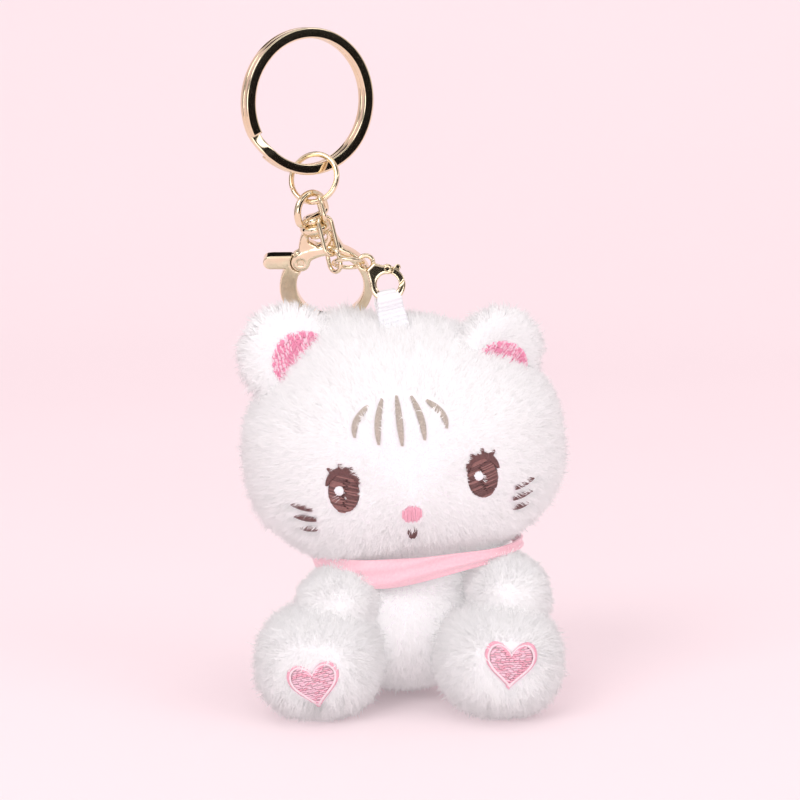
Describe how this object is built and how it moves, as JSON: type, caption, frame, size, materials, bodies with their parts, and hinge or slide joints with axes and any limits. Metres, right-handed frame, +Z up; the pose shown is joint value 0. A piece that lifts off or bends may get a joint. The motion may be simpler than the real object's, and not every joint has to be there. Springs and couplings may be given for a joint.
{
  "type": "plush keychain",
  "caption": "Split ring with a swivel snap clasp and a short chain, from which a sitting stuffed kitten in long pile fabric hangs by a ribbon loop.",
  "frame": {"origin": "centre of the split ring", "axes": "+Z up along the hanging object, the kitten faces -Y, +X to its left-hand side"},
  "size_m": [0.0628, 0.0552, 0.1348],
  "materials": {
    "gold_metal": "polished",
    "pin_steel": "satin",
    "pile_fabric": "long pile",
    "ribbon_fabric": "ribbed",
    "stuffing": "fibre",
    "pink_thread": "stitched",
    "brown_thread": "stitched",
    "white_thread": "stitched",
    "beige_thread": "stitched",
    "kerchief_fabric": "satin"
  },
  "bodies": {
    "split_ring": {"split_ring": "gold_metal"},
    "jump_ring": {"jump_ring": "gold_metal"},
    "swivel_eye": {"swivel_eye": "gold_metal"},
    "clasp": {"clasp_body": "gold_metal", "clasp_pin": "pin_steel", "clasp_spring": "pin_steel"},
    "clasp_gate": {"clasp_gate": "gold_metal"},
    "link_upper": {"link_upper": "gold_metal"},
    "link_middle": {"link_middle": "gold_metal"},
    "link_lower": {"link_lower": "gold_metal"},
    "end_ring": {"end_ring": "gold_metal"},
    "lobster": {"lobster_body": "gold_metal", "lobster_pin": "pin_steel", "lobster_spring": "pin_steel"},
    "lobster_gate": {"lobster_gate": "gold_metal"},
    "kitten": {"ribbon_loop": "ribbon_fabric", "head_cover": "pile_fabric", "torso_cover": "pile_fabric", "left_arm_cover": "pile_fabric", "right_arm_cover": "pile_fabric", "left_leg_cover": "pile_fabric", "right_leg_cover": "pile_fabric", "left_ear": "pile_fabric", "right_ear": "pile_fabric", "head_stuffing": "stuffing", "torso_stuffing": "stuffing", "left_arm_stuffing": "stuffing", "right_arm_stuffing": "stuffing", "left_leg_stuffing": "stuffing", "right_leg_stuffing": "stuffing", "left_ear_lining": "pink_thread", "right_ear_lining": "pink_thread", "nose": "pink_thread", "left_sole_heart": "pink_thread", "right_sole_heart": "pink_thread", "left_heart_border": "pink_thread", "right_heart_border": "pink_thread", "left_eye": "brown_thread", "right_eye": "brown_thread", "mouth": "brown_thread", "left_whiskers": "brown_thread", "right_whiskers": "brown_thread", "eye_highlights": "white_thread", "forehead_tuft": "beige_thread", "neckerchief": "kerchief_fabric"}
  },
  "joints": [
    {"name": "jump_ring_swing", "type": "hinge", "parent": "split_ring", "child": "jump_ring", "pos_m": [0, 0, -0.0139], "axis": [-0.848, -0.5299, 0], "range_deg": [-60, 60]},
    {"name": "eye_slide", "type": "hinge", "parent": "jump_ring", "child": "swivel_eye", "pos_m": [0.0012, 0.0001, -0.0157], "axis": [-0.3563, -0.8818, 0.309], "range_deg": [-40, 0]},
    {"name": "clasp_swivel", "type": "hinge", "parent": "swivel_eye", "child": "clasp", "pos_m": [0.00013, -0.00113, -0.02045], "axis": [-0.225, -0.2849, 0.9318], "range_deg": [-20, 30]},
    {"name": "clasp_gate_swing", "type": "hinge", "parent": "clasp", "child": "clasp_gate", "pos_m": [-0.00168, 0.00267, -0.0329], "axis": [0, -0.9563, -0.2924], "range_deg": [0, 28], "stiffness_Nm_per_rad": 0.002},
    {"name": "link_upper_swing", "type": "hinge", "parent": "jump_ring", "child": "link_upper", "pos_m": [0.00215, -0.00187, -0.02022], "axis": [-0.915, 0.2623, -0.3065], "range_deg": [-3, 20]},
    {"name": "link_middle_swing", "type": "hinge", "parent": "link_upper", "child": "link_middle", "pos_m": [0.0033, -0.00252, -0.02392], "axis": [0, 1, 0], "range_deg": [-15, 15]},
    {"name": "link_lower_swing", "type": "hinge", "parent": "link_middle", "child": "link_lower", "pos_m": [0.00493, -0.00354, -0.03053], "axis": [-0.8894, -0.4571, 0], "range_deg": [-3, 15]},
    {"name": "end_ring_swing", "type": "hinge", "parent": "link_lower", "child": "end_ring", "pos_m": [0.00577, -0.00411, -0.03396], "axis": [0, 1, 0], "range_deg": [-10, 12]},
    {"name": "lobster_swing", "type": "hinge", "parent": "end_ring", "child": "lobster", "pos_m": [0.01136, -0.00429, -0.03274], "axis": [0, 0.9239, -0.3827], "range_deg": [-15, 15]},
    {"name": "lobster_gate_swing", "type": "hinge", "parent": "lobster", "child": "lobster_gate", "pos_m": [0.01624, -0.00444, -0.03394], "axis": [0, 0.9848, -0.1736], "range_deg": [0, 22], "stiffness_Nm_per_rad": 0.0005},
    {"name": "kitten_swing", "type": "hinge", "parent": "lobster", "child": "kitten", "pos_m": [0.01628, -0.0055, -0.03994], "axis": [-1, 0, 0], "range_deg": [-4, 25]}
  ]
}
